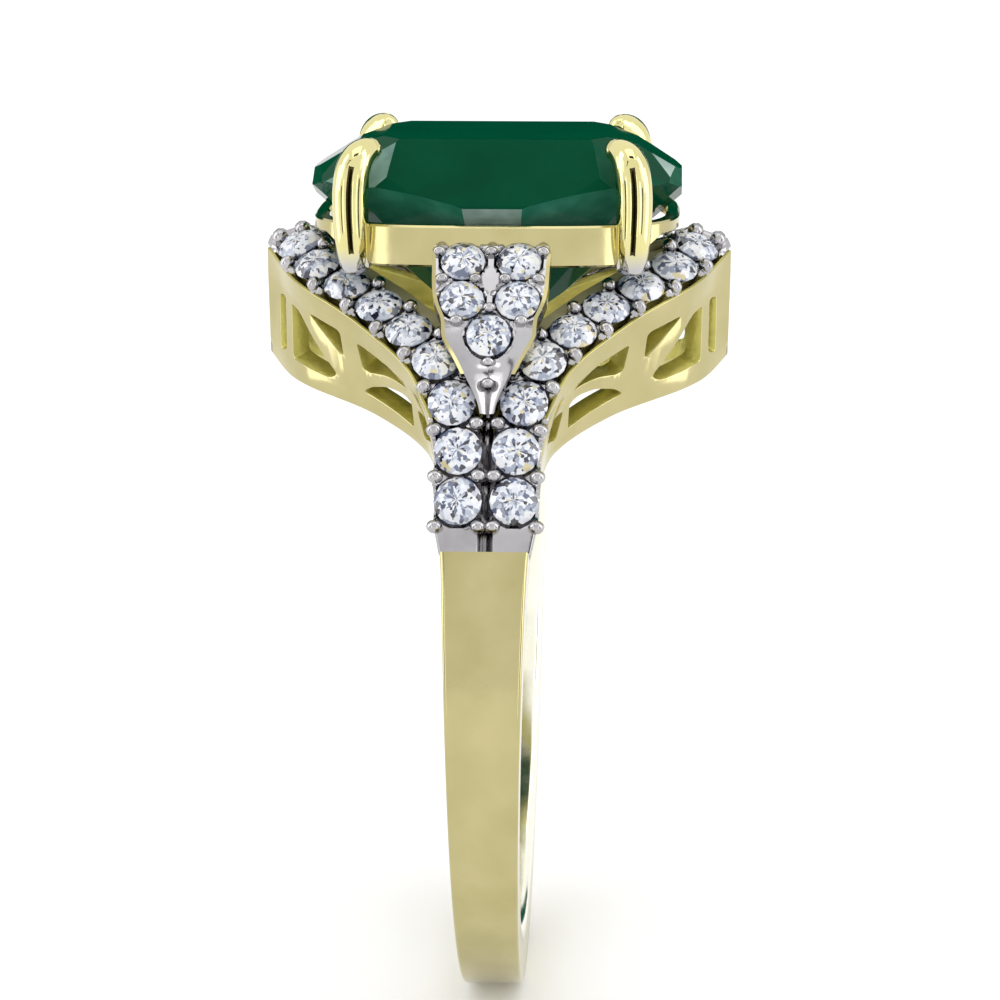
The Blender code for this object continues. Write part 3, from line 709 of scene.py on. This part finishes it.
def make_keystones():
    stones = key_stones()
    rows = []
    edges = {-1: [], 1: []}
    for step in range(121):
        place = step / 120
        centre, half, normal, down = key_frame(place)
        half = half + 0.26 * smooth((place - 0.40) / 0.12) * (1 - 0.6 * smooth((place - 0.72) / 0.28))
        ring = []
        inner = half - 0.02
        for i in range(41):
            x = inner * (1 - 2 * i / 40)
            spot = centre + Vector((x, 0, 0))
            height = 0.05
            for stone, _, _ in stones:
                radius = (spot - stone).length
                if radius < 0.80:
                    rim = smooth((radius - (KEYSTONE_STONE + 0.01)) / 0.06)
                    seat = max(-0.10 - 0.75 * max(0.0, 0.58 - radius), -0.5)
                    height = min(height, seat * (1 - rim) + 0.05 * rim)
            hollow = (1 - abs(x / max(inner, 0.01))) ** 1.5 * min(1, inner / 0.5)
            height -= 0.30 * smooth((place - 0.52) / 0.2) * hollow
            ring.append(spot + normal * height)
        for sign in (-1, 1):
            ring.append(centre + Vector((sign * inner, 0, 0)) - normal * 0.60)
        rows.append(ring)
        for sign in (-1, 1):
            x = sign * (half + 0.02)
            edges[sign].append([
                centre + Vector((x - sign * 0.05, 0, 0)) + normal * 0.06,
                centre + Vector((x + sign * 0.06, 0, 0)) + normal * 0.03,
                centre + Vector((x + sign * 0.06, 0, 0)) - normal * 0.55,
                centre + Vector((x - sign * 0.05, 0, 0)) - normal * 0.55,
            ])
    for across_y, face in ((1, "front"), (-1, "back")):
        turned = [[mirrored(point, 1, across_y) for point in ring] for ring in rows]
        piece(f"keystone_plate_{face}", loft(turned), white_gold, (f"keystone_{face}",), 45)
        bm = bmesh.new()
        for sign in (-1, 1):
            strip = [[mirrored(point, 1, across_y) for point in ring] for ring in edges[sign][12:86]]
            loft(strip, bm=bm)
        piece(f"keystone_edges_{face}", bm, yellow_gold, (), 40)
        bm = bmesh.new()
        spots = (
            (0.55 / 6, 1.50), (0.55 / 6, 0.0), (0.55 / 6, -1.50),
            (1.52 / 6, 1.38), (1.52 / 6, 0.42), (1.52 / 6, -0.42), (1.52 / 6, -1.38),
            (2.25 / 6, 0.0), (2.60 / 6, 0.92), (2.60 / 6, -0.92), (3.78 / 6, 0.0), (4.62 / 6, 0.0),
        )
        for place, x in spots:
            centre, _, normal, down = key_frame(place)
            low = 0.16 if place > 0.5 else 0.0
            spot = centre + Vector((x, 0, 0)) + normal * (0.12 - low)
            axes = [Vector((0.20, 0, 0)), down * 0.15, normal * 0.17]
            dome(bm, mirrored(spot, 1, across_y), [mirrored(v, 1, across_y) for v in axes])
        piece(f"keystone_beads_{face}", bm, white_gold, (), 60)
        rings = []
        for step in range(60):
            centre, _, normal = arm_frame(place_at(7.6 + (ARM_LENGTH - 7.62) * step / 59))
            middle = Vector((0, centre.y, centre.z))
            low, high, half = middle - normal * 0.60, middle - normal * 0.38, 0.16
            ring = [low + Vector((half, 0, 0)), high + Vector((0.05, 0, -0.02)), high + Vector((0, 0, 0.02))]
            ring += [high - Vector((0.05, 0, 0.02)), low - Vector((half, 0, 0))]
            rings.append([mirrored(point, 1, across_y) for point in ring])
        piece(f"groove_ridge_{face}", loft(rings), white_gold, (), 30)


# ---------------------------------------------------------------- basket band and claws
def cushion(half, count):
    points = []
    for i in range(count):
        turn = math.tau * (i + 0.5) / count
        c, s = math.cos(turn), math.sin(turn)
        x = half[0] * math.copysign(abs(c) ** (2 / 3.4), c)
        y = half[1] * math.copysign(abs(s) ** (2 / 3.4), s)
        points.append((x, y))
    return points


def make_basket():
    count = 160
    outer, inner = cushion((5.42, 4.24), count), cushion((5.00, 3.82), count)
    rings = []
    for (x, y), (u, v) in zip(outer, inner):
        rise = 0.80 * min(max((abs(x) - 3.9) / 1.0, 0), 1)
        low, high, edge = 12.36 + rise, 13.56, 0.06
        out, into = Vector((x, y, 0)), Vector((u, v, 0))
        across = (into - out) * (edge / (into - out).length)
        up = Vector((0, 0, 1))
        rings.append([
            out + up * (low + edge), out + up * (high - edge), out + across + up * high,
            into - across + up * high, into + up * (high - edge), into + up * (low + edge),
            into - across + up * low, out + across + up * low,
        ])
    piece("basket_band", loft(rings, closed=True), yellow_gold, ("basket_rail",), 40)


CLAW_LINE = (
    (3.95, -3.62, 12.12, 0.86),
    (4.05, -3.98, 13.00, 0.96),
    (4.10, -4.10, 14.10, 1.00),
    (4.06, -4.04, 14.90, 1.00),
    (3.92, -3.82, 15.40, 0.94),
    (3.64, -3.42, 15.64, 0.74),
    (3.36, -3.06, 15.60, 0.46),
)


CLAW_STEPS = 48
CLAW_SIDES = 40
GROOVE_TURN = math.radians(314)  # the groove down each claw, painted near-black as shade and dark reflection, faces the front, or the back
GROOVE_DEPTH = 0.24  # as a share of the claw's radius
GROOVE_HALF = 11.0  # degrees
# the groove's middle faces are painted near-black: painted shade and dark reflection
GROOVE_DARK_HALF = 8.0
GROOVE_DARK_ROWS = range(7, 27)


def off_groove(turn):
    """Degrees round a claw from the middle of its groove."""
    return math.degrees(abs((turn - GROOVE_TURN + math.pi) % math.tau - math.pi))


def make_claws():
    line = [Vector(point) for point in CLAW_LINE]
    out = Vector((0.72, -0.69, 0))
    rings = []
    for step in range(CLAW_STEPS + 1):
        place = step / CLAW_STEPS
        point = spline(line, place)
        ahead = spline(line, min(place + 0.01, 1)) - spline(line, max(place - 0.01, 0))
        along = ahead.to_3d().normalized()
        first = (out - along * out.dot(along)).normalized()
        second = along.cross(first)
        rounding = math.sqrt(max(0.0, 1 - max(0.0, (place - 0.93) / 0.07) ** 2 * 0.93))
        foot = math.sqrt(1 - max(0.0, (0.06 - place) / 0.06) ** 2 * 0.8)
        radius = 0.52 * point.w * rounding * foot
        groove = GROOVE_DEPTH * smooth((place - 0.11) / 0.05) * smooth((0.60 - place) / 0.08)
        ring = []
        for k in range(CLAW_SIDES):
            turn = math.tau * k / CLAW_SIDES
            size = radius * (1 - groove * max(0.0, 1 - off_groove(turn) / GROOVE_HALF))
            ring.append(point.to_3d() + (first * math.cos(turn) + second * math.sin(turn)) * size)
        rings.append(ring)
    for across_y, face in ((1, "front"), (-1, "back")):
        for across_x, side in ((-1, "left"), (1, "right")):
            turned = [[mirrored(point, across_x, across_y) for point in ring] for ring in rings]
            bm = loft(turned)
            for i, ring_face in enumerate(bm.faces[:]):
                row, column = divmod(i - 2, CLAW_SIDES)
                off = off_groove(math.tau * (column + 0.5) / CLAW_SIDES)
                # the groove's middle faces get the near-black gold: painted shade and dark reflection
                dark = i > 1 and off < GROOVE_DARK_HALF and row in GROOVE_DARK_ROWS
                ring_face.material_index = 1 if dark else 0
            name = f"claw_{face}_{side}"
            prong = piece(f"prong_{face}_{side}", bm, claw_gold, (name,), 60)
            prong.data.materials.append(groove_painted_shade)


# ---------------------------------------------------------------- stones keep their cut
def cut_places(mesh, number):
    """Stores each point's place across its stone, in radii from the middle, for the painted pattern of
    flashes.
    """
    areas = {}
    for face in mesh.polygons:
        facing = tuple(round(value, 2) for value in face.normal)
        areas[facing] = areas.get(facing, 0.0) + face.area
    table = Vector(max(areas, key=areas.get)).normalized()
    middle = sum((vert.co for vert in mesh.vertices), Vector()) / len(mesh.vertices)
    side = table.orthogonal().normalized()
    other = table.cross(side)
    flat = [((vert.co - middle).dot(side), (vert.co - middle).dot(other)) for vert in mesh.vertices]
    size = max(math.hypot(*spot) for spot in flat)
    stored = mesh.attributes.new("cut", "FLOAT_VECTOR", "POINT")
    for i, (x, y) in enumerate(flat):
        stored.data[i].vector = (x / size, y / size, number)


def dress_stones():
    for number, name in enumerate(sorted(NODES)):
        if name == "centre_stone" or name.startswith("stone_"):
            mesh = NODES[name].data
            mesh.materials.clear()
            mesh.materials.append(green_stone if name == "centre_stone" else clear_stone)
            for face in mesh.polygons:
                face.use_smooth = False
            if "custom_normal" in mesh.attributes:
                mesh.attributes.remove(mesh.attributes["custom_normal"])
            if name != "centre_stone":
                cut_places(mesh, number)


make_shank()
make_walls()
make_rails()
make_keystones()
make_basket()
make_claws()
dress_stones()


# ---------------------------------------------------------------- floor, light and camera
def emitter(name, strength, colour=(1, 1, 1)):
    material = bpy.data.materials.new(name)
    material.use_nodes = True
    tree = material.node_tree
    tree.nodes.remove(tree.nodes["Principled BSDF"])
    emission = tree.nodes.new("ShaderNodeEmission")
    emission.inputs["Color"].default_value = (*colour, 1)
    emission.inputs["Strength"].default_value = strength
    tree.links.new(emission.outputs[0], tree.nodes["Material Output"].inputs["Surface"])
    return material


def plane(name, corners, material):
    mesh = bpy.data.meshes.new(name)
    mesh.from_pydata([Vector(corner) * MM for corner in corners], [], [(0, 1, 2, 3)])
    mesh.materials.append(material)
    obj = bpy.data.objects.new(name, mesh)
    bpy.context.scene.collection.objects.link(obj)
    return obj


def panel(name, corners, strength, colour=(1, 1, 1)):
    """A glowing rectangle that only reflections see."""
    obj = plane(name, corners, emitter(name, strength, colour))
    obj.visible_camera = False
    obj.visible_diffuse = False
    obj.visible_shadow = False


def card(name, azimuth, elevation, distance, width, height, strength, colour=(1, 1, 1)):
    """A far panel that faces the ring."""
    a, e = math.radians(azimuth), math.radians(elevation)
    back = Vector((math.sin(a) * math.cos(e), -math.cos(a) * math.cos(e), math.sin(e)))
    centre = Vector((0, 0, 5)) + back * distance
    right = Vector((math.cos(a), math.sin(a), 0))
    up = back.cross(right) * -1
    signs = ((-1, -1), (1, -1), (1, 1), (-1, 1))
    corners = [centre + right * (w * width / 2) + up * (h * height / 2) for w, h in signs]
    panel(name, corners, strength, colour)


def post(name, azimuth, width, low, high, strength, distance=60):
    """An upright panel near the ring."""
    a = math.radians(azimuth)
    centre = Vector((math.sin(a), -math.cos(a), 0)) * distance
    right = Vector((math.cos(a), math.sin(a), 0)) * (width / 2)
    up = Vector((0, 0, 1))
    places = ((-1, low), (1, low), (1, high), (-1, high))
    panel(name, [centre + right * w + up * height for w, height in places], strength)


FLOOR = -10.27
FLOOR_SIZE = 3000
floor_material, floor_tree, floor_shader, floor_place = nodes_of("floor_white")
floor_shader.inputs["Roughness"].default_value = 0.9
floor_shader.inputs["Specular IOR Level"].default_value = 0.1
floor_cloud = ranged(floor_tree, noise(floor_tree, floor_place, 0.02), 0, 1)
floor_colour = mixed(floor_tree, floor_cloud, (0.93, 0.93, 0.93), (0.90, 0.90, 0.90))
floor_tree.links.new(floor_colour, floor_shader.inputs["Base Color"])
floor_shader.inputs["Emission Color"].default_value = (1, 1, 1, 1)
floor_shader.inputs["Emission Strength"].default_value = 0.12
floor_corners = [(x * FLOOR_SIZE, y * FLOOR_SIZE, FLOOR) for x, y in ((-1, -1), (1, -1), (1, 1), (-1, 1))]
plane("floor", floor_corners, floor_material)

world = bpy.data.worlds.new("studio")
bpy.context.scene.world = world
world.use_nodes = True
background = world.node_tree.nodes["Background"]
background.inputs["Color"].default_value = (1, 1, 1, 1)
background.inputs["Strength"].default_value = 1.06

card("card_left", -78, 30, 300, 90, 300, 3.0)
card("card_right", 78, 30, 300, 90, 300, 3.0)
card("card_high", 14, 66, 300, 120, 50, 0.05)
card("card_low", -24, 40, 300, 40, 90, 0.08)
card("card_behind", 183, 14, 300, 420, 130, 1.0, (0.0, 0.07, 0.035))
post("post_left", -34, 9, -9, 30, 2.6)
post("post_right", 34, 9, -9, 30, 2.6)
post("post_dark_left", -52, 10, -9, 22, 0.08)
post("post_dark_right", 52, 10, -9, 22, 0.08)
post("post_side_left", -88, 24, -9, 40, 2.4)
post("post_side_right", 88, 24, -9, 40, 2.4)


def area(name, place, size, power):
    light = bpy.data.lights.new(name, "AREA")
    light.shape = "SQUARE"
    light.size = size
    light.energy = power
    obj = bpy.data.objects.new(name, light)
    obj.location = Vector(place)
    obj.rotation_mode = "QUATERNION"
    obj.rotation_quaternion = (Vector((0, 0, 0.004)) - obj.location).to_track_quat("-Z", "Y")
    bpy.context.scene.collection.objects.link(obj)


area("light_top", (0.02, -0.06, 0.30), 0.20, 0.10)
area("light_left", (-0.28, -0.12, 0.16), 0.12, 0.03)
area("light_right", (0.28, -0.12, 0.16), 0.12, 0.03)

AZIMUTH, ELEVATION = math.radians(2.6), math.radians(12.0)
CAMERA_TARGET = Vector((0.00004, 0, 0.0046))
CAMERA_DISTANCE = 0.110
BACK = Vector((
    math.sin(AZIMUTH) * math.cos(ELEVATION),
    -math.cos(AZIMUTH) * math.cos(ELEVATION),
    math.sin(ELEVATION),
))
camera_data = bpy.data.cameras.new("camera")
camera_data.sensor_width = 36
camera_data.lens = 129.96
camera_data.clip_start = 0.005
camera_data.clip_end = 10
camera = bpy.data.objects.new("camera", camera_data)
camera.location = CAMERA_TARGET + BACK * CAMERA_DISTANCE
camera.rotation_mode = "QUATERNION"
camera.rotation_quaternion = (-BACK).to_track_quat("-Z", "Y")
bpy.context.scene.collection.objects.link(camera)
bpy.context.scene.camera = camera
bpy.context.scene.view_settings.view_transform = "Standard"
